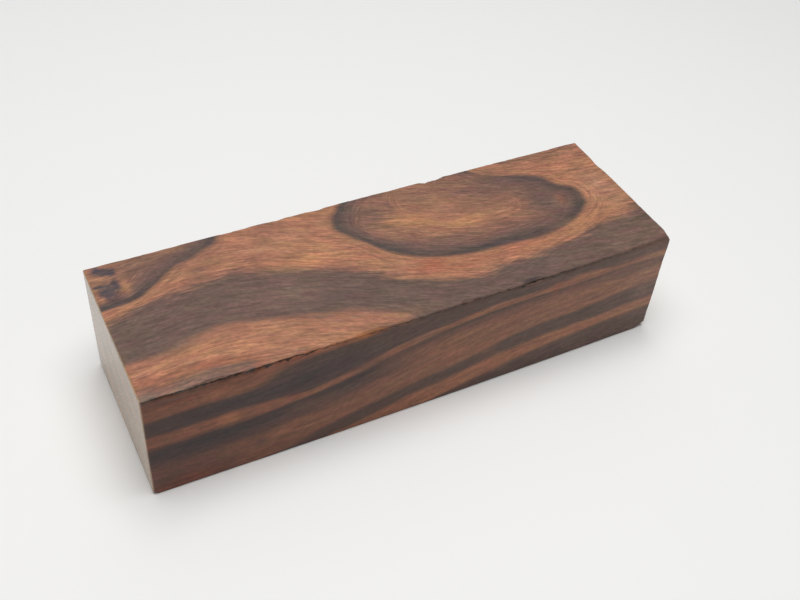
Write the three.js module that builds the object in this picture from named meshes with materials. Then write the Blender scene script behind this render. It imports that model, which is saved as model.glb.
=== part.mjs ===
// A sawn block of desert ironwood, as sold for knife handles and turning, in millimetres.
// +X runs along the grain, -Y is the long sawn side, +Z is up.
// The origin is the middle of the bottom face.
// The block is one solid: six sawn faces, arrises worn and chipped, four knocked corners.
import * as THREE from "three";

// Driving sizes
const LENGTH = 127;
const WIDTH = 41.2;
const HEIGHT = 29.5;
const SIDE_BOW = 0.5; // the -Y side stands this far prouder at mid-length than at its ends
const ARRIS_WEAR = 0.3; // leg of the worn strip along every arris
const WEAR_SWING = 0.4; // share by which the wear comes and goes along an arris
const WEAR_WAVES = [0.61, 0.23]; // radians a millimetre

// How far apart the surface is divided
const COARSE_STEP = { x: 12, y: 9, z: 8 };
const FINE_INSETS = [0, 0.4, 1.2]; // from each face, where the arrises need points
const CHIP_INSET = 2; // a chip adds no station nearer than this to an end
const CROWDED = 1 / 3; // share of a coarse step that a coarse station keeps from the others
const LEAST_STEP = 0.15; // stations closer than this become one

const HALF = { x: LENGTH / 2, y: WIDTH / 2, z: HEIGHT / 2 };
const AXES = ["x", "y", "z"];
const FACES = ["-x", "+x", "-y", "+y", "-z", "+z"];

// Chips along the arrises. An arris is named by the two faces that meet there.
// at is the chip's middle along the arris and reach half its length.
// legs are how deep it bites, in from the first face and in from the second.
const CHIPS = [
  // front arris, where the saw left the ragged edge
  { faces: ["-y", "+z"], at: -49, reach: 6, legs: [0.5, 0.5] },
  { faces: ["-y", "+z"], at: -30, reach: 5, legs: [0.6, 0.4] },
  { faces: ["-y", "+z"], at: -14, reach: 4, legs: [0.5, 0.6] },
  { faces: ["-y", "+z"], at: 9, reach: 3, legs: [0.5, 0.6] },
  { faces: ["-y", "+z"], at: 25.5, reach: 3.2, legs: [0.9, 1.4] },
  { faces: ["-y", "+z"], at: 60, reach: 9, legs: [0.7, 1.3] },
  // back arris
  { faces: ["+y", "+z"], at: -30, reach: 4, legs: [0.5, 0.5] },
  { faces: ["+y", "+z"], at: -20, reach: 2.5, legs: [0.8, 0.7] },
  { faces: ["+y", "+z"], at: -9.5, reach: 2.5, legs: [0.9, 0.8] },
  { faces: ["+y", "+z"], at: 21, reach: 3.4, legs: [1.3, 1.1] },
  // right-hand end
  { faces: ["+x", "+z"], at: 10, reach: 3, legs: [0.6, 0.5] },
  { faces: ["+x", "-y"], at: 6, reach: 4, legs: [0.4, 0.4] },
];

// Knocked corners: legs from the corner along X, Y and Z.
const KNOCKS = [
  { corner: [1, -1, 1], legs: [2.0, 4.6, 2.2] },
  { corner: [1, -1, -1], legs: [4.0, 2.4, 2.2] },
  { corner: [-1, -1, -1], legs: [1.6, 1.2, 1.2] },
  { corner: [-1, 1, 1], legs: [0.9, 0.9, 0.9] },
];

const faceOf = (axis, sign) => (sign < 0 ? "-" : "+") + axis;

// How deep an arris is worn and chipped, in from its first face, at t along it.
function wearLeg(first, second, t) {
  const [a, b] = WEAR_WAVES;
  const phase = FACES.indexOf(first) + 2.3 * FACES.indexOf(second);
  const swing = (Math.sin(a * t + phase) + Math.sin(b * t + 2 * phase)) / 2;
  let leg = ARRIS_WEAR * (1 + WEAR_SWING * swing);
  for (const { faces, at, reach, legs } of CHIPS) {
    const nearness = 1 - ((t - at) / reach) ** 2;
    if (nearness <= 0) continue;
    if (faces[0] === first && faces[1] === second) leg += legs[0] * nearness;
    if (faces[0] === second && faces[1] === first) leg += legs[1] * nearness;
  }
  return leg;
}

// Cuts the sharp arris or corner away: a point outside the plane through the legs moves in to it.
function cutBack(point, axes, legs) {
  const inset = axes.map((axis) => HALF[axis] - Math.abs(point[axis]));
  const outside = 1 - inset.reduce((sum, d, i) => sum + d / legs[i], 0);
  if (outside <= 0) return;
  const shift = outside / legs.reduce((sum, leg) => sum + 1 / leg, 0);
  for (const axis of axes) point[axis] -= shift * Math.sign(point[axis]);
}

// Where a point of the plain box lies on the real block, both centred on the origin.
function worn(x, y, z) {
  const point = { x, y, z };
  for (const run of AXES) {
    const [a, b] = AXES.filter((axis) => axis !== run);
    const first = faceOf(a, point[a]);
    const second = faceOf(b, point[b]);
    const legs = [
      wearLeg(first, second, point[run]),
      wearLeg(second, first, point[run]),
    ];
    cutBack(point, [a, b], legs);
  }
  for (const { corner, legs } of KNOCKS) {
    const here = AXES.every((axis, i) => point[axis] * corner[i] > 0);
    if (here) cutBack(point, AXES, legs);
  }
  const frontShare = 0.5 - point.y / WIDTH;
  point.y += SIDE_BOW * (point.x / HALF.x) ** 2 * frontShare;
  return point;
}

// Positions along one axis: fine near both faces and at the chips, coarse between.
function stations(axis) {
  const half = HALF[axis];
  const all = new Set();
  for (const inset of FINE_INSETS) {
    all.add(inset - half);
    all.add(half - inset);
  }
  const chipsHere = CHIPS.filter(({ faces }) =>
    faces.every((face) => face[1] !== axis),
  );
  for (const { at, reach } of chipsHere) {
    for (const share of [-1, 0, 1]) {
      const place = at + share * reach;
      if (Math.abs(place) < half - CHIP_INSET) all.add(place);
    }
  }
  for (const { corner, legs } of KNOCKS) {
    const i = AXES.indexOf(axis);
    all.add(corner[i] * (half - legs[i]));
  }
  const count = Math.round((2 * half) / COARSE_STEP[axis]);
  for (let n = 1; n < count; n++) {
    const place = -half + (n * 2 * half) / count;
    const crowded = [...all].some(
      (other) => Math.abs(other - place) < COARSE_STEP[axis] * CROWDED,
    );
    if (!crowded) all.add(place);
  }
  const sorted = [...all].sort((p, q) => p - q);
  return sorted.filter((place, n) => n === 0 || place - sorted[n - 1] > LEAST_STEP);
}

// The closed surface of a box divided at the stations, each point moved to where it is worn to.
function blockGeometry() {
  const lines = { x: stations("x"), y: stations("y"), z: stations("z") };
  const positions = [];
  const triangles = [];
  const known = new Map();

  function vertex(at) {
    const key = AXES.map((axis) => at[axis]).join();
    if (!known.has(key)) {
      const p = worn(...AXES.map((axis) => lines[axis][at[axis]]));
      known.set(key, positions.length / 3);
      positions.push(p.x, p.y, p.z + HALF.z);
    }
    return known.get(key);
  }

  AXES.forEach((normal, n) => {
    const u = AXES[(n + 1) % 3];
    const v = AXES[(n + 2) % 3];
    for (const side of [0, lines[normal].length - 1]) {
      for (let i = 0; i + 1 < lines[u].length; i++) {
        for (let j = 0; j + 1 < lines[v].length; j++) {
          const corners = [
            [i, j],
            [i + 1, j],
            [i + 1, j + 1],
            [i, j + 1],
          ].map(([p, q]) => vertex({ [normal]: side, [u]: p, [v]: q }));
          if (side === 0) corners.reverse();
          const [a, b, c, d] = corners;
          triangles.push(a, b, c, a, c, d);
        }
      }
    }
  });

  const geometry = new THREE.BufferGeometry();
  geometry.setAttribute("position", new THREE.Float32BufferAttribute(positions, 3));
  geometry.setIndex(triangles);
  geometry.computeVertexNormals();
  return geometry;
}

// Oiled reddish-brown heartwood
const heartwood = new THREE.MeshStandardMaterial({
  color: 0x6b432c,
  roughness: 0.45,
  metalness: 0,
});

const block = new THREE.Mesh(blockGeometry(), heartwood);
block.name = "ironwood_block";

const part = new THREE.Group();
part.add(block);

export default part;
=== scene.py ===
"""A sawn block of desert ironwood on a pale floor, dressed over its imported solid."""

import math

import bpy
import numpy as np
from mathutils import Matrix, Vector


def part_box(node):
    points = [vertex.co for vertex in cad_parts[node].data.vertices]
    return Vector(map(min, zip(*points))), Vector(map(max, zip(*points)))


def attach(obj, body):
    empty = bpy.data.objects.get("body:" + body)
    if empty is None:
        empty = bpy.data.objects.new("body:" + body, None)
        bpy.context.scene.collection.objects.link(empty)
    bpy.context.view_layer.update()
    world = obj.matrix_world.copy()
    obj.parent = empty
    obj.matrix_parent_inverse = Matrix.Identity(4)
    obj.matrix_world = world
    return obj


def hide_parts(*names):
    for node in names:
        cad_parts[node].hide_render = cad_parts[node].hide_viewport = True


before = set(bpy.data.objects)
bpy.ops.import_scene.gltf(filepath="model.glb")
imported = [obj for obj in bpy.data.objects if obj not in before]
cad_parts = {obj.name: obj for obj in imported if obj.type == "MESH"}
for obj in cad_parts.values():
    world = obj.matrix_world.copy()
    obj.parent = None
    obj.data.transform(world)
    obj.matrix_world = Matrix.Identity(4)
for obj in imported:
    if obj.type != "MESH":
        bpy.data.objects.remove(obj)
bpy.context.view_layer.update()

# Sizes of the block in millimetres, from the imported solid
MM = 0.001
low, high = (np.array(corner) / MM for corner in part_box("ironwood_block"))
CENTRE = (low + high) / 2
LENGTH, WIDTH, HEIGHT = high - low
HALF = np.array([LENGTH, WIDTH, HEIGHT]) / 2
SIDE_BOW = 0.5  # the -Y side stands this far prouder at mid-length than at its ends
CORNER = HALF - (0, SIDE_BOW, 0)  # how far the centre lies from the front bottom left corner
FACES = ["-x", "+x", "-y", "+y", "-z", "+z"]

# Points of the surface: how far the rows beside an arris lie from it,
# and how far apart the others are along X, Y and Z
EDGE_INSETS = (0, 0.12, 0.25, 0.4, 0.6, 0.85, 1.15, 1.5, 2.0, 2.6)
SPACING = (0.46, 0.75, 0.75)
HAIR = 0.01  # less than any two rows lie apart

WANDER_SPAN = 400  # millimetres that a random line covers, more than the block needs

# Wear of the arrises: how deep it goes in from each of the two faces, and how it swings along them
ARRIS_WEAR = 0.28
LEAST_WEAR = 0.06
WEAR_SWING = 0.4
WEAR_STEP = 7
ARRIS_REACH = 4  # no wear or chip goes in further than this

# Splinters broken out of the arrises: depth, and how ragged each arris is
ARRIS_RAGGED = 0.3
LEAST_RAGGED = 0.05
RAGGED_ARRISES = {("-y", "+z"): 0.7, ("+y", "+z"): 0.25, ("+x", "+z"): 0.12}
WIDE_SPLINTER = 1.9
NARROW_SPLINTER = 0.8
NARROW_SHARE = 0.6  # how deep a narrow splinter is, against a wide one

# Chips: the two faces that meet, place and half length along the arris, depth in from each face
CHIPS = [
    (("-y", "+z"), -49, 6, (0.5, 0.5)),
    (("-y", "+z"), -30, 5, (0.6, 0.4)),
    (("-y", "+z"), -14, 4, (0.5, 0.6)),
    (("-y", "+z"), 9, 3, (0.5, 0.6)),
    (("-y", "+z"), 25.5, 3.2, (0.9, 1.4)),
    (("-y", "+z"), 60, 9, (0.3, 0.9)),
    (("+y", "+z"), -30, 4, (0.12, 0.12)),
    (("+y", "+z"), -20, 2.5, (0.2, 0.2)),
    (("+y", "+z"), -9.5, 2.5, (0.3, 0.3)),
    (("+y", "+z"), 21, 3.4, (0.7, 0.6)),
    (("+x", "+z"), 10, 3, (0.2, 0.2)),
    (("+x", "-y"), 6, 4, (0.12, 0.12)),
]
CHIP_SWING = 0.5
CHIP_STEP = 1.1

# Knocked corners: which corner, and how far the knock reaches along X, Y and Z
KNOCKS = [
    ((1, -1, 1), (1.3, 3.4, 1.3)),
    ((1, -1, -1), (4.0, 2.4, 1.5)),
    ((-1, -1, -1), (1.6, 1.2, 1.2)),
    ((-1, 1, 1), (0.25, 0.25, 0.25)),
]
KNOCK_SWING = 0.12
KNOCK_STEP = 1.3
KNOCK_REACH = 6  # no knock goes further from its corner than this

# Growth layers. Each line runs along one layer number, drawn on a face in millimetres
# from the left end and from the front side (top face) or the bottom (front side).
# The numbers count from the front top arris, back over the top and down the front side.
# A dark layer begins at each odd number, a lighter one at each even number,
# and a number such as 1.5 lies inside a layer.
TOP_EDGES = [
    (0, [(5, -0.6), (12, 1.8), (17, 1.8), (22, -0.6)]),
    (1, [(0, 11), (8, 11.3), (14, 12), (20, 13), (26, 12.3), (32, 10.8), (38, 8.8), (44, 7.3), (50, 5.3),
         (55, 3), (58.5, 0)]),
    (2, [(0, 22.5), (5, 24.6), (10, 26), (16, 27.5), (24, 28), (32, 27.3), (38, 25.2), (44, 22.5),
         (52, 19.5), (57, 15.8), (61, 12.4), (68, 9.2), (76, 6.5), (90, 6.7), (102, 7.8), (112, 10),
         (120, 11.3), (127, 14)]),
    (3, [(0, 26.6), (4, 26.8), (8, 27.5), (12, 29.8), (15, 32), (18, 34), (22, 35.3), (26, 36.6),
         (29, 38.2), (30, 40.7)]),
    (3, [(60, 40.7), (56, 36), (55, 33), (55.5, 31), (58, 28), (60, 25), (62, 22), (66, 18.5), (70, 16),
         (78, 13.5), (90, 12.5), (98, 12), (104, 12.5), (110, 14.5), (115, 18), (116.8, 22.5),
         (115.5, 25.5), (112.5, 27.5), (111.5, 30), (109, 32.3), (105, 34), (100, 36), (97, 38),
         (94.5, 40.7)]),
    (0.45, [(27, 0.5), (35, 0.8)]),
    (1.4, [(63, 0), (127, 0)]),
    (1.5, [(0, 16.5), (10, 18.3), (20, 20), (32, 18.5), (44, 14.5), (54, 9)]),
    (1.8, [(0, 20.3), (7, 22.3), (14, 24.3), (24, 25)]),
    (2.5, [(26, 32.5), (36, 32), (44, 28.5), (52, 24)]),
    (2.8, [(36, 40.7), (45, 39.5), (54, 40.7)]),
    (4.4, [(71, 40.7), (67, 36), (65.5, 32), (67.5, 28.5), (72, 24.5), (80, 21), (90, 20), (98, 20),
           (104, 21.5), (106.5, 24), (104, 27.5), (99, 30), (93, 32.5), (88, 36), (85, 40.7)]),
    (4.8, [(75, 34), (82, 29), (90, 27), (97, 26)]),
    (4.65, [(76, 40.7), (81, 40.7)]),
    (4.6, [(2, 37), (9, 38.5)]),
    (4, [(0, 28.8), (6, 29.3), (10, 31.5), (13, 34), (17, 36.3), (22, 38), (26, 40.7)]),
    (4, [(64, 40.7), (60.5, 36), (59, 33), (59.5, 30), (61, 27.5), (63.5, 24.5), (67, 21.5), (72, 18.5),
         (80, 16.3), (90, 15.7), (98, 15.5), (104, 16), (109, 18), (112.5, 21), (112.3, 23.5),
         (109.5, 26), (107.5, 29), (104, 31.5), (99, 33.5), (95, 36), (92, 40.7)]),
]
FRONT_EDGES = [
    (0, [(0, 28.5), (12, 28.3), (18, 28.6), (23, 29.6)]),
    (1, [(0, 22.7), (12, 23.2), (19, 22.9), (24, 23.6), (28, 25.6), (33, 27), (40, 27.6), (46, 28.2),
         (54, 29.2)]),
    (2, [(0, 18.6), (14, 18.8), (26, 18.4), (34, 17.5), (40, 18.6), (46, 20.4), (58, 23.3), (66, 24.2),
         (78, 25.6), (90, 25.6), (102, 26.5), (114, 25.6), (127, 26)]),
    (3, [(0, 14.6), (12, 14.8), (24, 15), (34, 15.8), (46, 18), (58, 21.4), (70, 23.1), (84, 24.2),
         (100, 24), (120, 24.4), (127, 23.8)]),
    (4, [(0, 9.5), (12, 9.9), (24, 10.6), (36, 12.8), (46, 14), (55, 17), (64, 20.2), (78, 22.3),
         (90, 22.9), (106, 22.8), (127, 22.5)]),
    (5, [(30, 0.6), (36, 2.8), (45, 5), (55, 6.9), (65, 9.2), (75, 11), (85, 13.2), (95, 13.9),
         (106, 14.6), (127, 15.8)]),
    (6, [(40, 0.4), (50, 2.3), (60, 5.1), (70, 6.4), (80, 8.8), (90, 9.7), (106, 10.3), (127, 10.6)]),
    (7, [(65, 0.4), (75, 2.3), (85, 4.2), (95, 5.8), (106, 6.8), (127, 7.6)]),
    (1.5, [(30, 21.5), (38, 22.6), (46, 24), (54, 26)]),
    (4.7, [(0, 6.5), (20, 6), (36, 7.8), (52, 11.3), (68, 14.8), (90, 17.8), (127, 19.2)]),
    (4.75, [(0, 1.5), (12, 1), (20, 0.2)]),
    (7.6, [(96, 1.5), (127, 3.4)]),
]
EDGE_STEP = 3.0  # how far apart the layer field is tied to a line
FIELD_SOFTNESS = 2.5
FIELD_SLACK = 0.05  # how loosely it is tied
BATCH = 8000  # points worked out at a time

# Where the layers cross a face at less than the first number of millimetres a millimetre,
# the streaks follow the fibres, and from the second number on they follow the layers.
FLAT_LAYERS = 0.6
CLEAR_LAYERS = 1.4
OUTERMOST = 1.2  # below this layer number they turn back to the fibres
OUTERMOST_FADE = 0.7  # in layers
LAYER_STEP = 0.01  # for measuring how wide the layers are

# Millimetres across the layers, counted up to each layer number, on the top and on the other faces
TOP_SPREAD = [(-2, -22), (0, 0), (1, 11), (2, 24), (3, 36), (4, 39.5), (5, 56), (10, 86)]
SIDE_SPREAD = [
    (-2, -10), (0, 0), (1, 5.5), (2, 10), (3, 13), (4, 16), (5, 24), (6, 27.5), (7, 31), (10, 43),
]

# How the fibres swing along the block: sideways on the top, up and down on the front
TOP_GRAIN = [
    (0, -0.6), (20, 0), (35, -3), (55, -10.4), (75, -18), (100, -26.5), (115, -30), (127, -31.5),
]
FRONT_GRAIN = [(0, 0), (30, 0.8), (55, 4.6), (80, 9.3), (95, 10.5), (127, 11.3)]

# How far from an arris one face's look gives way to the other's
TOP_FADE = 1.5
SIDE_FADE = 0.3
END_FADE = 8  # as a power: the wax and the painted reflection of the ends stop short

# Spots in the wood, with one of painted light and one of painted shade among them: middle and radii in
# millimetres from the front bottom left corner, strength
WARM_SPOTS = [
    ((45, 25, 29.5), (6.5, 1.7, 3), 0.65),
    ((18, 7, 29.5), (14, 3, 3), 0.2),
    ((69.5, 30, 29.5), (3, 1.8, 3), 0.8),
    ((73, 27.8, 29.5), (3.5, 1.8, 3), 1.0),
    ((76.5, 26, 29.5), (3, 1.3, 3), 0.5),
    ((121, 20, 29.5), (5, 6, 3), 0.25),
    ((110, 13, 29.5), (8, 2, 3), 0.25),
    ((84, 23.3, 29.5), (6, 2, 3), 0.8),
    ((17.6, 0, 16.8), (2, 2, 1.2), 1.3),
    ((14.5, 0, 25.6), (2.8, 2, 1.3), 0.7),
    ((66, 0, 19), (7, 2, 3), 0.25),
    ((31, 0, 7.5), (9, 2, 2.5), 0.35),
    ((57, 1.5, 29.5), (5, 1.5, 2), 0.2),
    ((6.8, 32, 29.5), (1, 2.2, 2), 0.6),
    ((1.2, 29.8, 29.5), (1.8, 0.9, 2), 0.5),
    ((2, 36.3, 29.5), (2, 0.6, 2), 0.4),
]
DULL_SPOTS = [
    ((106.5, 23, 29.5), (5, 6, 6), 1.2),
    ((96, 31, 29.5), (10, 5, 6), 0.6),
    ((80, 37, 29.5), (10, 3.5, 6), 0.45),
    ((64, 33, 29.5), (5, 7, 6), 0.5),
    ((59, 31, 29.5), (2.5, 6, 6), 0.35),
    ((76, 19, 29.5), (9, 2.4, 6), 0.5),
    ((13, 36, 29.5), (12, 5, 8), 0.75),
    ((6, 0, 4), (14, 8, 6), 0.6),
    ((14, 1, 29.5), (12, 2, 1), 0.5),
]
BROWN_SPOTS = [
    ((104, 0, 22.8), (24, 3, 1.2), 0.9),
    ((104, 0, 25), (22, 3, 0.9), 0.35),
    ((60, 0, 18.5), (8, 3, 2), 0.7),
    ((80, 0, 21.6), (12, 3, 1.3), 0.75),
    ((96, 37.3, 29.5), (7, 2.6, 6), 0.65),
    ((113, 38.5, 29.5), (13, 3, 4), 0.35),
    ((36, 0, 13.5), (7, 3, 2), 0.45),
    ((119, 0, 25), (9, 3, 1.6), 0.45),
    ((79, 0, 10.5), (2.6, 3, 1.6), 0.6),
    ((56, 0, 17.5), (7, 3, 2.5), 0.4),
]
PALE_SPOTS_WITH_PAINTED_LIGHT = [
    # painted light: the top near the front right corner drawn paler, as if more light fell there
    ((119, 4, 29.5), (10, 5, 6), 0.15),
    ((122, 22, 29.5), (4, 7, 3), 0.5),
    ((40, 34, 29.5), (12, 4, 3), 0.15),
    ((92, 3, 29.5), (10, 4, 6), 0.1),
    ((36, 17, 29.5), (10, 4, 3), 0.15),
    ((61.5, 0, 23), (3, 2, 0.7), 0.5),
    ((124, 0, 18), (6, 3, 10), 0.24),
]
SPLINTER_SPOTS = [
    ((46.5, -0.3, 28.9), (2.2, 1.2, 0.7), 1.0),
    ((51, -0.3, 29.2), (1.6, 1, 0.4), 0.6),
    ((41, -0.3, 29), (2.4, 1, 0.5), 0.5),
]
RED_SPOTS = [
    ((70.3, 12.8, 29.5), (4.2, 2.2, 3), 0.85),
    ((77, 10.5, 29.5), (4, 1.5, 3), 0.4),
    ((90, 10.5, 29.5), (9, 1.4, 3), 0.4),
    ((110.3, 22, 29.5), (1.2, 2, 2), 0.4),
    ((85, 17, 29.5), (3, 1.2, 2), 0.2),
    ((95.5, 0, 25), (1.2, 1, 1.4), 0.8),
    ((32, 0, 17.3), (2.5, 1, 0.8), 0.7),
    ((33, -0.3, 28.6), (5, 1, 0.6), 0.45),
    ((8, 0, 2), (6, 2, 1.6), 0.8),
]
DARK_SPOTS_WITH_PAINTED_SHADE = [
    # painted shade: the dark top rim of the chip near x 88.5, where it is in shadow
    ((88.5, 0.3, 29.5), (2.6, 0.5, 0.6), 1.0),
    ((47, 0, 20), (4, 3, 1.3), 0.3),
    ((70.4, 35.5, 29.5), (0.8, 2, 2), 0.4),
    ((90, 3.5, 29.5), (7, 2.4, 4), 0.38),
    ((33, 0, 20.5), (4, 3, 3), 0.35),
    ((88, 33.4, 29.5), (3, 0.6, 2), 0.5),
    ((22.5, 31, 29.5), (2.2, 0.9, 2), 0.5),
    ((28, 26.5, 29.5), (2.6, 1.2, 2), 0.5),
    ((47, 12, 29.5), (4, 1.5, 2), 0.3),
    ((24, 0, 6.2), (1.5, 3, 1.1), 0.6),
    ((20, 0, 21), (20, 3, 1.9), 0.95),
    ((40, 0, 23.2), (11, 3, 2.6), 0.6),
    ((12, 0, 12), (18, 3, 2), 0.7),
]
# Knots, with a firmer outline: middle and radii in millimetres
KNOTS = [
    ((2.5, 38.8, 29.5), (1.6, 1.4, 6)),
    ((3.6, 38.2, 29.5), (1.4, 1.3, 6)),
    ((4.7, 37.6, 29.5), (1.6, 1.3, 6)),
    ((3.1, 31.5, 29.5), (2.1, 2.5, 6)),
    ((5.0, 33.3, 29.5), (1.1, 2.0, 6)),
    ((1.4, 33.8, 29.5), (1.6, 0.4, 3)),
]

# Colours of the wood, linear
ORANGE = (0.445, 0.193, 0.106, 1)
DEEP_ORANGE = (0.35, 0.128, 0.064, 1)
DARK = (0.146, 0.089, 0.07, 1)
DARKEST = (0.068, 0.053, 0.05, 1)
BROWN = (0.25, 0.12, 0.078, 1)
LIGHT_BROWN = (0.375, 0.172, 0.1, 1)
MIDDLE_BROWN = (0.27, 0.13, 0.085, 1)
PURPLE_BROWN = (0.17, 0.09, 0.074, 1)
GREY_BROWN = (0.16, 0.093, 0.075, 1)
WARM = (0.63, 0.29, 0.13, 1)
RED = (0.37, 0.1, 0.05, 1)
KNOT = (0.072, 0.057, 0.067, 1)
# worn arrises darkened: partly wear, partly painted shade in their chips and in the torn groove
TORN_AND_SHADE = (0.09, 0.052, 0.038, 1)
SPLINTER = (0.42, 0.15, 0.05, 1)
SHADOW = (0.04, 0.026, 0.018, 1)
PALE_GREY = (0.25, 0.16, 0.125, 1)
# paler colour of the ends: partly their wax, partly painted reflection of the pale floor seen at a
# grazing angle
WAX_AND_REFLECTION = (0.72, 0.52, 0.32, 1)
PALE = (0.42, 0.25, 0.185, 1)
PINKISH = (1.045, 0.975, 1.0, 1)  # the wood's colour is tinted from this one
OLIVE = (0.97, 1.03, 0.955, 1)  # to this one, by patches
SIDE_PAINTED_SHADE = (0.57, 0.46, 0.44, 1)  # painted shade: how much darker the sides are coloured than the top, at the left end, for the less light they get

# The colour at each layer number
LAYER_COLOURS = [
    (-2.0, BROWN), (-1.3, ORANGE), (-0.9, PALE_GREY), (-0.1, PALE_GREY), (0.15, DEEP_ORANGE),
    (0.45, ORANGE), (0.85, ORANGE), (1.08, DARK), (1.9, DARK), (2.15, ORANGE), (2.84, ORANGE),
    (3.2, DARKEST), (3.5, DARKEST), (4.0, GREY_BROWN), (4.14, PURPLE_BROWN), (4.36, MIDDLE_BROWN),
    (4.6, LIGHT_BROWN), (4.85, LIGHT_BROWN), (5.02, DARK), (5.85, DARK), (6.15, ORANGE),
    (6.85, ORANGE), (7.1, DARK), (8.0, DARK), (8.4, BROWN), (9.2, ORANGE), (9.6, DARK),
]

# Stains, with a spot of painted light among the pale ones and one of painted shade among the dark ones:
# name, where the spots are, strength and colour
STAINS_AND_PAINTED_SPOTS = [
    ("dull", DULL_SPOTS, 0.95, GREY_BROWN),
    ("brown", BROWN_SPOTS, 1.0, MIDDLE_BROWN),
    ("pale", PALE_SPOTS_WITH_PAINTED_LIGHT, 1.0, PALE),
    ("warm", WARM_SPOTS, 0.9, WARM),
    ("red", RED_SPOTS, 0.8, RED),
    ("dark", DARK_SPOTS_WITH_PAINTED_SHADE, 0.9, KNOT),
]

# How far each noise moves the layers, counted in layers, and how it darkens and lightens the wood
LAYER_DRIFT = {"broad": 0.22, "streaks": 0.12, "lines": 0.15}
SHADING = {
    "rings": (0.85, 1.15),
    "lines": (0.87, 1.12),
    "streaks": (0.78, 1.18),
    "fine": (0.88, 1.08),
    "mottle": (0.9, 1.1),
}
SHADE_RANGE = (0.35, 0.65)  # a noise shades from dark to light over this range

# How strongly the fibres are torn out under the front top arris: place from the left end, strength
TORN_STRETCH = [
    (0, 0.3), (4, 0.8), (13, 1.1), (26, 1), (36, 0.6), (60, 0.35), (80, 0.5), (88, 0.9), (97, 0.6),
    (112, 0.4), (127, 0),
]
GROOVE_DEPTH = 0.42
GROOVE_USUAL = 0.75  # share of that depth, and how far it swings along the groove
GROOVE_SWING = 0.7
GROOVE_STEP = 2.3
GROOVE_DOWN = 0.62  # how far below the top its middle lies, and how far that drifts
GROOVE_DRIFT = 0.15
GROOVE_DRIFT_STEP = 3.1
GROOVE_WIDTH = 0.3  # from its middle to its sides
GROOVE_LIP = 0.05  # what stays of the arris above it
GROOVE_PAINTED_SHADE = 1.5  # how much more painted shade the groove gets than a worn arris does

# The painted shadow line along the groove: how far below the top, how wide to each side, how softly it
# ends
LINE_DOWN = (0.1, 0.7)
LINE_GAPE = (0.16, 0.6)
LINE_END = (-0.12, 0.1)

# Knots: how uneven their outline is, and where they thin out, as a share of the radii
KNOT_UNEVEN = 0.6
KNOT_RIM = (0.5, 1.3)

# How the other colours come and go: the range of the noise or the depth, and their strength there
PURPLE_RANGE = (0.4, 0.75)
PURPLE_SHARE = (0, 0.45)
HUE_RANGE = (0.38, 0.62)
# darkening of the worn arrises by their depth: partly wear, partly painted shade
TORN_RANGE = (0.12, 0.5)
TORN_SHADE_SHARE = (0, 0.3)
SPLINTER_RANGE = (0.42, 0.58)
SPLINTER_SHARE = (0.15, 1.4)

# Surface of the wood
STREAK_RANGE = (0.3, 0.7)
SATIN = (0.45, 0.65)  # roughness over the range of the streaks
WAXED = 0.2  # roughness of the ends
# how far the ends turn to the wax colour with its painted reflection
WAX_AND_REFLECTION_SHARE = 0.5
IOR = 1.42
RELIEF_STRENGTH = 0.35
RELIEF_DEPTH = 0.12  # millimetres
FINE_RELIEF = 0.4  # share of the finest lines in it, against the streaks
MAP_GAP = 1.2  # between the faces on the flat map

# The picture's viewpoint: bearing and height in degrees, turn of the camera, distance, aim and lens
VIEW_BEARING = -30.67
VIEW_HEIGHT = 43.665
VIEW_ROLL = 5.342
VIEW_DISTANCE = 264.439
VIEW_AIM = (10.68, 12.241, 0)
LENS = 46.823
SENSOR_WIDTH = 36
NEAREST = 0.01  # metres from the camera

# Lamps: name, place and aim in metres, side of the square lamp and power
LAMPS = [
    ("overhead", (-0.03, -0.025, 0.72), (-0.01, -0.015, 0), 0.54, 4.6),
    ("behind", (0.3, 0.7, 0.9), (0, 0, 0), 0.8, 0.9),
]
STUDIO_LIGHT = 0.15  # from all round
FLOOR_REACH = 3.0  # metres
FLOOR_COLOUR = (0.94, 0.94, 0.93, 1)
FLOOR_ROUGHNESS = 0.8


def ease(t):
    """0 to 1 with a soft start and a soft end."""
    return t * t * (3 - 2 * t)


def smooth_curve(points, places):
    """Values at the places of a smooth line through (place, value) points."""
    x, y = np.array(points, float).T
    slope = np.gradient(y, x)
    i = np.clip(np.searchsorted(x, places) - 1, 0, len(x) - 2)
    gap = x[i + 1] - x[i]
    t = np.clip((places - x[i]) / gap, 0, 1)
    rise = (3 - 2 * t) * t * t
    return (
        y[i] * (1 - rise)
        + y[i + 1] * rise
        + slope[i] * gap * t * (1 - t) ** 2
        - slope[i + 1] * gap * (1 - t) * t * t
    )


def even_points(points):
    """Points EDGE_STEP apart along a smooth line through the given ones."""
    run = np.array(points, float)
    along = np.r_[0, np.cumsum(np.linalg.norm(np.diff(run, axis=0), axis=1))]
    places = np.linspace(0, along[-1], 2 + int(along[-1] / EDGE_STEP))
    return np.stack([smooth_curve(np.stack([along, axis], 1), places) for axis in run.T], 1)


def wander(places, step, seed):
    """Smooth random values between -1 and 1, changing about every step. Each seed gives its own line."""
    knots = np.random.default_rng(seed).uniform(-1, 1, int(WANDER_SPAN / step))
    where = np.asarray(places) / step + len(knots) / 2
    i = np.floor(where).astype(int)
    t = ease(where - i)
    return knots[i] * (1 - t) + knots[i + 1] * t


def layer_anchors():
    """Places in the block where the growth layer is known, and its number there."""
    anchors, numbers = [], []
    for number, line in TOP_EDGES:
        for x, y in even_points(line):
            anchors.append((x, y, HEIGHT))
            numbers.append(number)
    for number, line in FRONT_EDGES:
        for x, z in even_points(line):
            anchors.append((x, 0, z))
            numbers.append(number)
    return np.array(anchors), np.array(numbers, float)


def softened_distance(a, b):
    """The distance from each point of a to each of b, never less than the field's softness."""
    square = ((a[:, None] - b[None]) ** 2).sum(2)
    return np.sqrt(square + FIELD_SOFTNESS**2)


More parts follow.
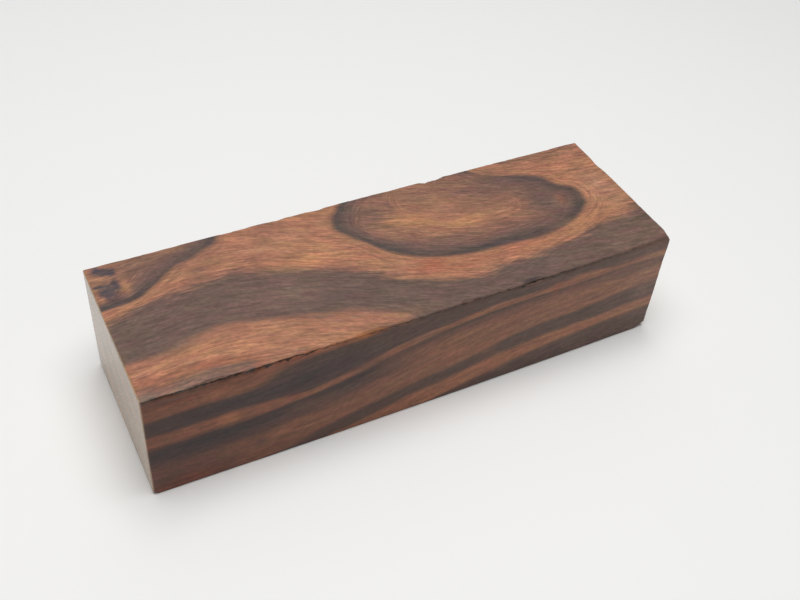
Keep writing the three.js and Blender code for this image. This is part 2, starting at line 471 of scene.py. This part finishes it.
def field_weights(anchors, numbers):
    """How strongly each anchor pulls on the layer field, then the field's height and tilt."""
    count = len(anchors)
    tilt = np.c_[np.ones(count), anchors]
    system = np.zeros((count + 4, count + 4))
    system[:count, :count] = softened_distance(anchors, anchors) - FIELD_SLACK * np.eye(count)
    system[:count, count:] = tilt
    system[count:, :count] = tilt.T
    return np.linalg.solve(system, np.r_[numbers, np.zeros(4)])


def layer_field(points):
    """Number of the growth layer at each point and its slope, smooth through all the drawn lines."""
    anchors, numbers = layer_anchors()
    weights = field_weights(anchors, numbers)
    count = len(anchors)
    field = np.empty(len(points))
    slope = np.empty((len(points), 3))
    for first in range(0, len(points), BATCH):
        batch = slice(first, first + BATCH)
        part = points[batch]
        reach = softened_distance(part, anchors)
        pull = weights[:count] / reach
        field[batch] = reach @ weights[:count]
        slope[batch] = part * pull.sum(1)[:, None] - pull @ anchors
    field += np.c_[np.ones(len(points)), points] @ weights[count:]
    return field, slope + weights[count + 1 :]


def spots(points, places):
    """Sum of soft spots at each point."""
    total = np.zeros(len(points))
    for middle, radii, strength in places:
        away = (((points - middle) / radii) ** 2).sum(1)
        total += strength * np.exp(-away)
    return total


def stations(axis):
    """Places of the points along one axis, close together near both faces."""
    edge = np.array(EDGE_INSETS)
    inner = HALF[axis] - edge[-1]
    middle = np.linspace(-inner, inner, 1 + round(2 * inner / SPACING[axis]))
    return np.r_[edge - HALF[axis], middle[1:-1], HALF[axis] - edge[::-1]]


def box_surface():
    """Points of a plain box's surface, its squares, and the number of the face each square is on."""
    lines = [stations(axis) for axis in range(3)]
    sizes = [len(line) for line in lines]
    number = -np.ones(sizes, int)
    outer = np.zeros(sizes, bool)
    for axis in range(3):
        outer[(slice(None),) * axis + ((0, -1),)] = True
    number[outer] = np.arange(outer.sum())
    where = np.argwhere(outer)
    points = np.stack([lines[axis][where[:, axis]] for axis in range(3)], 1)
    squares, faces = [], []
    for axis in range(3):
        u, v = (axis + 1) % 3, (axis + 2) % 3
        for side in (0, -1):
            sheet = np.moveaxis(number, axis, 0)[side]
            if u > v:
                sheet = sheet.T
            a, b, c, d = sheet[:-1, :-1], sheet[1:, :-1], sheet[1:, 1:], sheet[:-1, 1:]
            ring = (a, b, c, d) if side else (d, c, b, a)
            squares.append(np.stack([corner.ravel() for corner in ring], 1))
            faces.append(np.full(a.size, 2 * axis + (side != 0)))
    return points, np.concatenate(squares), np.concatenate(faces)


def wear_depth(along, first, second):
    """How deep an arris is worn in from its first face, with its chips and its splinters."""
    seed = FACES.index(first) + 7 * FACES.index(second)
    depth = ARRIS_WEAR * (1 + WEAR_SWING * wander(along, WEAR_STEP, seed))
    ragged = max(RAGGED_ARRISES.get((first, second), 0), RAGGED_ARRISES.get((second, first), 0))
    wide = np.maximum(wander(along, WIDE_SPLINTER, seed + 50), 0)
    narrow = np.maximum(wander(along, NARROW_SPLINTER, seed + 90), 0)
    depth += (LEAST_RAGGED + ARRIS_RAGGED * ragged) * (wide + NARROW_SHARE * narrow)
    for pair, middle, reach, legs in CHIPS:
        if {first, second} != set(pair):
            continue
        near = np.maximum(1 - ((along - middle) / reach) ** 2, 0)
        near *= 1 + CHIP_SWING * wander(along, CHIP_STEP, seed + 13)
        depth += legs[pair.index(first)] * near
    return np.maximum(depth, LEAST_WEAR)


def cut_back(points, here, axes, legs):
    """Moves the points outside the slanted plane through the legs in to it. Returns how far."""
    inset = [HALF[axis] - np.abs(points[here, axis]) for axis in axes]
    outside = 1 - sum(d / leg for d, leg in zip(inset, legs))
    shift = np.maximum(outside, 0) / sum(1 / leg for leg in legs)
    for axis in axes:
        points[here, axis] -= shift * np.sign(points[here, axis])
    return shift


def wear_arris(points, start, run, sides):
    """Wears the arris along one axis, where two sides (axis, sign) meet. Returns where and how much."""
    (a, sign_a), (b, sign_b) = sides
    near_a = HALF[a] - sign_a * start[:, a] < ARRIS_REACH
    near_b = HALF[b] - sign_b * start[:, b] < ARRIS_REACH
    here = np.flatnonzero(near_a & near_b)
    first = FACES[2 * a + (sign_a > 0)]
    second = FACES[2 * b + (sign_b > 0)]
    along = points[here, run]
    legs = [wear_depth(along, first, second), wear_depth(along, second, first)]
    return here, cut_back(points, here, (a, b), legs)


def wear_down(points):
    """Moves the plain box's points to the worn block. Returns how much each one was torn away."""
    start = points.copy()
    torn_shade = np.zeros(len(points))
    for run in range(3):
        a, b = [axis for axis in range(3) if axis != run]
        for sign_a, sign_b in ((-1, -1), (-1, 1), (1, -1), (1, 1)):
            here, shift = wear_arris(points, start, run, ((a, sign_a), (b, sign_b)))
            torn_shade[here] += shift
    for corner, legs in KNOCKS:
        here = np.flatnonzero((start * corner > HALF - KNOCK_REACH).all(1))
        slant = points[here, 2] * 3 + points[here, 1] * 2
        uneven = 1 + KNOCK_SWING * wander(slant, KNOCK_STEP, 5)
        torn_shade[here] += cut_back(points, here, (0, 1, 2), [leg * uneven for leg in legs])
    return torn_shade


def tear_front_arris(points, start):
    """Sinks the torn groove under the front top arris, below a ragged lip. Returns its depth."""
    under = HALF[2] - start[:, 2]
    front = start[:, 1] < HAIR - HALF[1]
    from_left = start[:, 0] + HALF[0]
    strength = smooth_curve(TORN_STRETCH, from_left)
    strength *= np.clip(GROOVE_USUAL + GROOVE_SWING * wander(from_left, GROOVE_STEP, 31), 0, None)
    middle = GROOVE_DOWN + GROOVE_DRIFT * wander(from_left, GROOVE_DRIFT_STEP, 32)
    groove = np.exp(-(((under - middle) / GROOVE_WIDTH) ** 2)) * front * (under > GROOVE_LIP)
    depth = GROOVE_DEPTH * strength * groove
    points[:, 1] += depth
    return depth


def build_block():
    """The block's mesh, with what its material needs stored on its points."""
    points, squares, faces = box_surface()
    start = points.copy()
    torn_shade = wear_down(points)
    # the groove is darkened more than a worn arris: painted shade
    torn_shade += GROOVE_PAINTED_SHADE * tear_front_arris(points, start)
    front_share = 0.5 - points[:, 1] / WIDTH
    points[:, 1] += SIDE_BOW * (points[:, 0] / HALF[0]) ** 2 * front_share
    mesh = square_mesh("ironwood_figured_block", (points + CENTRE) * MM, squares)
    store(mesh, "torn_shade", torn_shade)
    store_figure(mesh, points + CORNER, start)
    store_sides(mesh, points + CORNER, start)
    lay_out_flat(mesh, start, squares, faces)
    return mesh


def square_mesh(name, points, squares):
    """A mesh of squares, shaded smooth."""
    mesh = bpy.data.meshes.new(name)
    mesh.vertices.add(len(points))
    mesh.vertices.foreach_set("co", points.ravel())
    mesh.loops.add(squares.size)
    mesh.loops.foreach_set("vertex_index", squares.ravel())
    mesh.polygons.add(len(squares))
    mesh.polygons.foreach_set("loop_start", np.arange(0, squares.size, 4))
    mesh.update(calc_edges=True)
    mesh.shade_smooth()
    return mesh


def store(mesh, name, values):
    """Keeps one number for each point of the mesh."""
    attribute = mesh.attributes.new(name, "FLOAT", "POINT")
    attribute.data.foreach_set("value", np.asarray(values, np.float32))


def store_vector(mesh, name, values):
    """Keeps three numbers for each point of the mesh."""
    attribute = mesh.attributes.new(name, "FLOAT_VECTOR", "POINT")
    attribute.data.foreach_set("vector", values.astype(np.float32).ravel())


def store_figure(mesh, place, start):
    """Keeps the growth layers, the fibres, the stains and the spots of painted light and shade."""
    layer, slope = layer_field(place)
    store(mesh, "layer", layer)
    store(mesh, "across", across_layers(layer, place))
    store(mesh, "follow", layer_clearness(layer, slope, place, start))
    store_vector(mesh, "fibre", fibre_place(place))
    for name, places, _, _ in STAINS_AND_PAINTED_SPOTS:
        store(mesh, name, spots(place, places))
    store(mesh, "splinter", spots(place, SPLINTER_SPOTS))


def store_sides(mesh, place, start):
    """Keeps where each point lay on the plain box, how far it belongs to the sides and the ends, and how
    strongly it is painted in shade on the sides.
    """
    store_vector(mesh, "place", start + CORNER)
    below = np.clip((HALF[2] - start[:, 2]) / SIDE_FADE, 0, 1)
    # Strength of the painted shade on the sides: full below the top arris at the left end, none at the
    # right end
    store(mesh, "side", below * (1 - place[:, 0] / LENGTH))
    store(mesh, "below", 0.5 * below)
    store(mesh, "end", np.clip(np.abs(start[:, 0]) - HALF[0] + 1, 0, 1) ** END_FADE)


def on_top(place):
    """1 on the top face, fading to 0 a little way down the others."""
    return np.clip(1 - (HEIGHT - place[:, 2]) / TOP_FADE, 0, 1)


def across_layers(layer, place):
    """Millimetres across the growth layers, so that streaks can follow them at an even width."""
    share = on_top(place)
    top = np.interp(layer, *zip(*TOP_SPREAD))
    side = np.interp(layer, *zip(*SIDE_SPREAD))
    return share * top + (1 - share) * side


def layer_clearness(layer, slope, place, start):
    """1 where the layers cross a face so clearly that streaks follow them, 0 where they lie flat in it.

    It is 0 in the outermost layer too, where the streaks follow the fibres.
    """
    in_face = slope * (np.abs(start) < HALF - SIDE_FADE)
    above = across_layers(layer + LAYER_STEP, place)
    below = across_layers(layer - LAYER_STEP, place)
    stretch = (above - below) / (2 * LAYER_STEP)
    crossing = stretch * np.linalg.norm(in_face, axis=1)
    clear = np.clip((crossing - FLAT_LAYERS) / (CLEAR_LAYERS - FLAT_LAYERS), 0, 1)
    outermost = np.clip((OUTERMOST - layer) / OUTERMOST_FADE, 0, 1)
    return ease(clear) * (1 - outermost)


def fibre_place(place):
    """Where each point lies along and across the fibres, in millimetres."""
    x, y, z = place.T
    share = on_top(place)
    across = y - share * smooth_curve(TOP_GRAIN, x)
    up = z - (1 - share) * smooth_curve(FRONT_GRAIN, x)
    return np.stack([x, across, up], 1)


def lay_out_flat(mesh, start, squares, faces):
    """Lays the six faces side by side on a square map: four long strips and the two ends."""
    strips = {"+z": (0, 1), "-z": (0, 1), "-y": (0, 2), "+y": (0, 2)}
    ends = {"-x": (2, 1), "+x": (2, 1)}
    flat = np.zeros((len(squares), 4, 2))
    for left, column in ((MAP_GAP, strips), (LENGTH + 2 * MAP_GAP, ends)):
        height = MAP_GAP
        for face, axes in column.items():
            here = faces == FACES.index(face)
            flat[here] = start[squares[here]][..., axes] + HALF[list(axes)] + (left, height)
            height += 2 * HALF[axes[1]] + MAP_GAP
    layer = mesh.uv_layers.new(name="OFBake")
    side = LENGTH + HEIGHT + 3 * MAP_GAP
    layer.data.foreach_set("uv", (flat / side).ravel().astype(np.float32))


def add(tree, kind, inputs=(), **settings):
    """Adds a node. An input given as a socket is joined, any other is set."""
    node = tree.nodes.new(kind)
    for name, value in settings.items():
        setattr(node, name, value)
    for key, value in dict(inputs).items():
        if isinstance(value, bpy.types.NodeSocket):
            tree.links.new(value, node.inputs[key])
        else:
            node.inputs[key].default_value = value
    return node


# A Mix node's inputs are 0 the factor, 2 and 3 the numbers, 6 and 7 the colours.
def mix(tree, factor, a, b, mode="MIX"):
    """Colour a turned into colour b by the factor."""
    inputs = {0: factor, 6: a, 7: b}
    return add(tree, "ShaderNodeMix", inputs, data_type="RGBA", blend_type=mode).outputs[2]


def blend(tree, factor, a, b):
    """Number a turned into number b by the factor."""
    return add(tree, "ShaderNodeMix", {0: factor, 2: a, 3: b}, data_type="FLOAT").outputs[0]


def math_node(tree, operation, a, b=0.0, clamp=False):
    """A sum on one or two numbers."""
    return add(tree, "ShaderNodeMath", {0: a, 1: b}, operation=operation, use_clamp=clamp).outputs[0]


def vector_math(tree, operation, a, b):
    """A sum on two vectors, part by part."""
    return add(tree, "ShaderNodeVectorMath", {0: a, 1: b}, operation=operation).outputs[0]


def remap(tree, value, from_low, from_high, to_low, to_high):
    """The value carried over from one range to another, and held at its ends."""
    inputs = {0: value, 1: from_low, 2: from_high, 3: to_low, 4: to_high}
    return add(tree, "ShaderNodeMapRange", inputs).outputs[0]


def ramp(tree, value, stops):
    """The colour at a value, between stops of a value and its colour."""
    first, last = stops[0][0], stops[-1][0]
    node = add(tree, "ShaderNodeValToRGB", {0: remap(tree, value, first, last, 0, 1)})
    elements = node.color_ramp.elements
    while len(elements) < len(stops):
        elements.new(0.5)
    for element, (place, colour) in zip(elements, stops):
        element.position = (place - first) / (last - first)
        element.color = colour
    return node.outputs[0]


def stored(tree, name, output="Fac"):
    """What was kept under a name on the mesh's points."""
    return add(tree, "ShaderNodeAttribute", attribute_name=name).outputs[output]


def grain_noise(tree, length, width, detail=2.0, rough=0.5, offset=0.0):
    """Noise drawn out along the fibres: length and width of its streaks in millimetres."""
    scale = (1 / length, 1 / width, 1 / width)
    inputs = {"Vector": stored(tree, "fibre", "Vector"), "Location": (offset,) * 3, "Scale": scale}
    scaled = add(tree, "ShaderNodeMapping", inputs).outputs[0]
    inputs = {"Vector": scaled, "Scale": 1.0, "Detail": detail, "Roughness": rough}
    return add(tree, "ShaderNodeTexNoise", inputs).outputs[0]


def layer_noise(tree, length, width, detail=2.0, offset=0.0):
    """Noise drawn out along the growth layers: length and width of its streaks in millimetres."""
    along = vector_math(tree, "MULTIPLY", stored(tree, "place", "Vector"), (1 / length,) * 3)
    inputs = {0: stored(tree, "across"), 1: 1 / width, 2: offset}
    across = add(tree, "ShaderNodeMath", inputs, operation="MULTIPLY_ADD").outputs[0]
    inputs = {"Vector": along, "W": across, "Scale": 1.0, "Detail": detail}
    return add(tree, "ShaderNodeTexNoise", inputs, noise_dimensions="4D").outputs[0]


def figure_noise(tree, length, width, detail=2.0, offset=0.0):
    """Streaks that follow the growth layers where these are clear, and the fibres elsewhere."""
    fibres = grain_noise(tree, length, width, detail=detail, offset=offset)
    layers = layer_noise(tree, length, width, detail=detail, offset=offset)
    return blend(tree, stored(tree, "follow"), fibres, layers)


def noise_along(tree, x, scale, detail):
    """Noise that changes along the block only."""
    inputs = {"Scale": scale, "Detail": detail, "W": x}
    return add(tree, "ShaderNodeTexNoise", inputs, noise_dimensions="1D").outputs[0]


def calmer(tree, value):
    """The noise value drawn half-way to its middle on the sides."""
    return blend(tree, stored(tree, "below"), value, 0.5)


def wood_noises(tree):
    """The noises of the wood by name."""
    return {
        "broad": grain_noise(tree, 22, 2.6, offset=3),
        "streaks": calmer(tree, grain_noise(tree, 4, 0.42, detail=4, rough=0.65, offset=11)),
        "rings": figure_noise(tree, 7, 1.1, offset=5),
        "lines": calmer(tree, figure_noise(tree, 3, 0.45, detail=3, offset=17)),
        "fine": figure_noise(tree, 1.6, 0.25, detail=1, offset=29),
        "tint": figure_noise(tree, 7, 1.6, offset=41),
        "hue": grain_noise(tree, 6, 1.8, offset=53),
        "mottle": grain_noise(tree, 1.1, 0.7, offset=67),
    }


def knot(tree, middle, radii):
    """1 inside an uneven oval spot, 0 outside it."""
    place = stored(tree, "place", "Vector")
    scaled = vector_math(tree, "DIVIDE", vector_math(tree, "SUBTRACT", place, middle), radii)
    away = add(tree, "ShaderNodeVectorMath", {0: scaled}, operation="LENGTH").outputs["Value"]
    wobble = add(tree, "ShaderNodeTexNoise", {"Vector": place, "Scale": 0.9, "Detail": 2.0}).outputs[0]
    uneven = math_node(tree, "ADD", away, remap(tree, wobble, 0, 1, -KNOT_UNEVEN, KNOT_UNEVEN))
    return remap(tree, uneven, *KNOT_RIM, 1, 0)


def torn_strength(tree, x):
    """How strongly the front top arris is torn, along the block, which sets how wide its painted shadow
    line is.
    """
    return ramp(tree, x, [(at, (strength, strength, strength, 1)) for at, strength in TORN_STRETCH])


def tear_groove_shadow_line(tree):
    """The painted shadow in the groove: a dark ragged line where fibres were torn out just under the
    front top arris.
    """
    place = stored(tree, "place", "Vector")
    x, y, z = add(tree, "ShaderNodeSeparateXYZ", {0: place}).outputs
    on_front = remap(tree, y, -SIDE_BOW, 0.1 - SIDE_BOW, 1, 0)
    under = math_node(tree, "SUBTRACT", float(HEIGHT), z)
    middle = remap(tree, noise_along(tree, x, 0.45, 2.0), 0.25, 0.75, *LINE_DOWN)
    gape = remap(tree, noise_along(tree, x, 0.6, 3.0), 0.4, 0.68, *LINE_GAPE)
    width = math_node(tree, "MULTIPLY", torn_strength(tree, x), gape)
    away = math_node(tree, "ABSOLUTE", math_node(tree, "SUBTRACT", under, middle))
    dark = remap(tree, math_node(tree, "SUBTRACT", away, width), *LINE_END, 1, 0)
    return math_node(tree, "MULTIPLY", dark, on_front)


def drifted_layer(tree, noises):
    """Number of the growth layer, moved a little by the noises."""
    layer = stored(tree, "layer")
    for name, swing in LAYER_DRIFT.items():
        layer = math_node(tree, "ADD", layer, remap(tree, noises[name], 0, 1, -swing, swing))
    return layer


def shaded(tree, colour, value, dark, light):
    """The colour made darker and lighter as a noise value swings to either side of its middle."""
    return mix(tree, 1.0, colour, remap(tree, value, *SHADE_RANGE, dark, light), "MULTIPLY")


def spotted(tree, colour, name, strength, spot_colour):
    """The colour turned into another where the stored spots of that name are."""
    share = math_node(tree, "MULTIPLY", stored(tree, name), strength, clamp=True)
    return mix(tree, share, colour, spot_colour)


def figured_colour(tree, noises):
    """The colour of the growth layers, with their stains and knots, and a spot each of painted light and
    painted shade.
    """
    colour = ramp(tree, drifted_layer(tree, noises), LAYER_COLOURS)
    for name, _, strength, spot_colour in STAINS_AND_PAINTED_SPOTS:
        colour = spotted(tree, colour, name, strength, spot_colour)
    for middle, radii in KNOTS:
        colour = mix(tree, knot(tree, middle, radii), colour, KNOT)
    purple = remap(tree, noises["tint"], *PURPLE_RANGE, *PURPLE_SHARE)
    return mix(tree, purple, colour, PURPLE_BROWN)


def streaked_colour(tree, colour, noises):
    """The colour with the streaks and patches of the noises, and with painted shade on the sides."""
    for name, (dark, light) in SHADING.items():
        colour = shaded(tree, colour, noises[name], dark, light)
    hue = mix(tree, remap(tree, noises["hue"], *HUE_RANGE, 0, 1), PINKISH, OLIVE)
    colour = mix(tree, 1.0, colour, hue, "MULTIPLY")
    # painted shade on the sides, fading from the left end to the right
    painted_side_shade_colour = mix(tree, 1.0, colour, SIDE_PAINTED_SHADE, "MULTIPLY")
    return mix(tree, stored(tree, "side"), colour, painted_side_shade_colour)


def torn_and_shaded_colour(tree, colour):
    """The colour with the worn arrises darkened, partly as wear and partly as painted shade in their
    chips and groove, the painted shadow line under the front top one and its bright splinters.
    """
    torn_shade = remap(tree, stored(tree, "torn_shade"), *TORN_RANGE, *TORN_SHADE_SHARE)
    colour = mix(tree, torn_shade, colour, TORN_AND_SHADE)
    colour = mix(tree, tear_groove_shadow_line(tree), colour, SHADOW)
    broken = remap(tree, grain_noise(tree, 0.7, 0.5, offset=71), *SPLINTER_RANGE, *SPLINTER_SHARE)
    return spotted(tree, colour, "splinter", broken, SPLINTER)


def wood_material():
    """Figured ironwood: satin on the sides; the ends smoother under their wax, and paler, partly from
    the wax and partly from painted reflection.
    """
    material = bpy.data.materials.new("ironwood")
    material.use_nodes = True
    tree = material.node_tree
    shader = tree.nodes["Principled BSDF"]
    noises = wood_noises(tree)
    waxed = stored(tree, "end")

    colour = streaked_colour(tree, figured_colour(tree, noises), noises)
    wax_and_reflection_share = math_node(tree, "MULTIPLY", waxed, WAX_AND_REFLECTION_SHARE)
    colour = mix(tree, wax_and_reflection_share, torn_and_shaded_colour(tree, colour), WAX_AND_REFLECTION)
    tree.links.new(colour, shader.inputs["Base Color"])

    satin = remap(tree, noises["streaks"], *STREAK_RANGE, *SATIN)
    tree.links.new(blend(tree, waxed, satin, WAXED), shader.inputs["Roughness"])
    shader.inputs["IOR"].default_value = IOR

    height = blend(tree, FINE_RELIEF, noises["streaks"], noises["fine"])
    inputs = {"Height": height, "Strength": RELIEF_STRENGTH, "Distance": RELIEF_DEPTH * MM}
    tree.links.new(add(tree, "ShaderNodeBump", inputs).outputs[0], shader.inputs["Normal"])
    return material


def plain_material(name, colour, roughness):
    """One colour all over."""
    material = bpy.data.materials.new(name)
    material.use_nodes = True
    shader = material.node_tree.nodes["Principled BSDF"]
    shader.inputs["Base Color"].default_value = colour
    shader.inputs["Roughness"].default_value = roughness
    return material


def put_in_scene(name, data):
    """A new object that shows the data."""
    item = bpy.data.objects.new(name, data)
    bpy.context.scene.collection.objects.link(item)
    return item


def add_block():
    """The dressed block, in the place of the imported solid."""
    block = put_in_scene("ironwood_figured_block", build_block())
    block.data.materials.append(wood_material())
    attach(block, "root")
    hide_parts("ironwood_block")


def add_floor():
    """A pale floor that reaches past the picture."""
    far = FLOOR_REACH
    corners = [(-far, -far, 0), (far, -far, 0), (far, far, 0), (-far, far, 0)]
    mesh = bpy.data.meshes.new("floor")
    mesh.from_pydata(corners, [], [(0, 1, 2, 3)])
    mesh.materials.append(plain_material("pale_floor", FLOOR_COLOUR, FLOOR_ROUGHNESS))
    floor = put_in_scene("floor", mesh)


def add_lamp(name, place, aim, size, power):
    """A soft square lamp at a place, turned to its aim."""
    lamp = bpy.data.lights.new(name, "AREA")
    lamp.shape = "SQUARE"
    lamp.size = size
    lamp.energy = power
    holder = put_in_scene(name, lamp)
    holder.location = place
    turn = (Vector(aim) - Vector(place)).to_track_quat("-Z", "Y")
    holder.rotation_euler = turn.to_euler()


def add_light():
    """The lamps and the faint light from all round."""
    for name, place, aim, size, power in LAMPS:
        add_lamp(name, place, aim, size, power)
    world = bpy.data.worlds.new("studio")
    bpy.context.scene.world = world
    world.use_nodes = True
    background = world.node_tree.nodes["Background"]
    background.inputs["Color"].default_value = (1, 1, 1, 1)
    background.inputs["Strength"].default_value = STUDIO_LIGHT


def add_camera():
    """The camera at the picture's viewpoint."""
    bearing, height, roll = map(math.radians, (VIEW_BEARING, VIEW_HEIGHT, VIEW_ROLL))
    level = math.cos(height)
    back = Vector((math.sin(bearing) * level, -math.cos(bearing) * level, math.sin(height)))
    right = Vector((0, 0, 1)).cross(back).normalized()
    up = back.cross(right)
    across = math.cos(roll) * right + math.sin(roll) * up
    upward = -math.sin(roll) * right + math.cos(roll) * up
    turn = Matrix((across, upward, back)).transposed().to_4x4()
    camera = bpy.data.cameras.new("camera")
    camera.lens = LENS
    camera.sensor_width = SENSOR_WIDTH
    camera.clip_start = NEAREST
    holder = put_in_scene("camera", camera)
    holder.matrix_world = Matrix.Translation((Vector(VIEW_AIM) + back * VIEW_DISTANCE) * MM) @ turn
    bpy.context.scene.camera = holder


add_camera()
add_floor()
add_light()
add_block()
bpy.context.scene.view_settings.view_transform = "Standard"
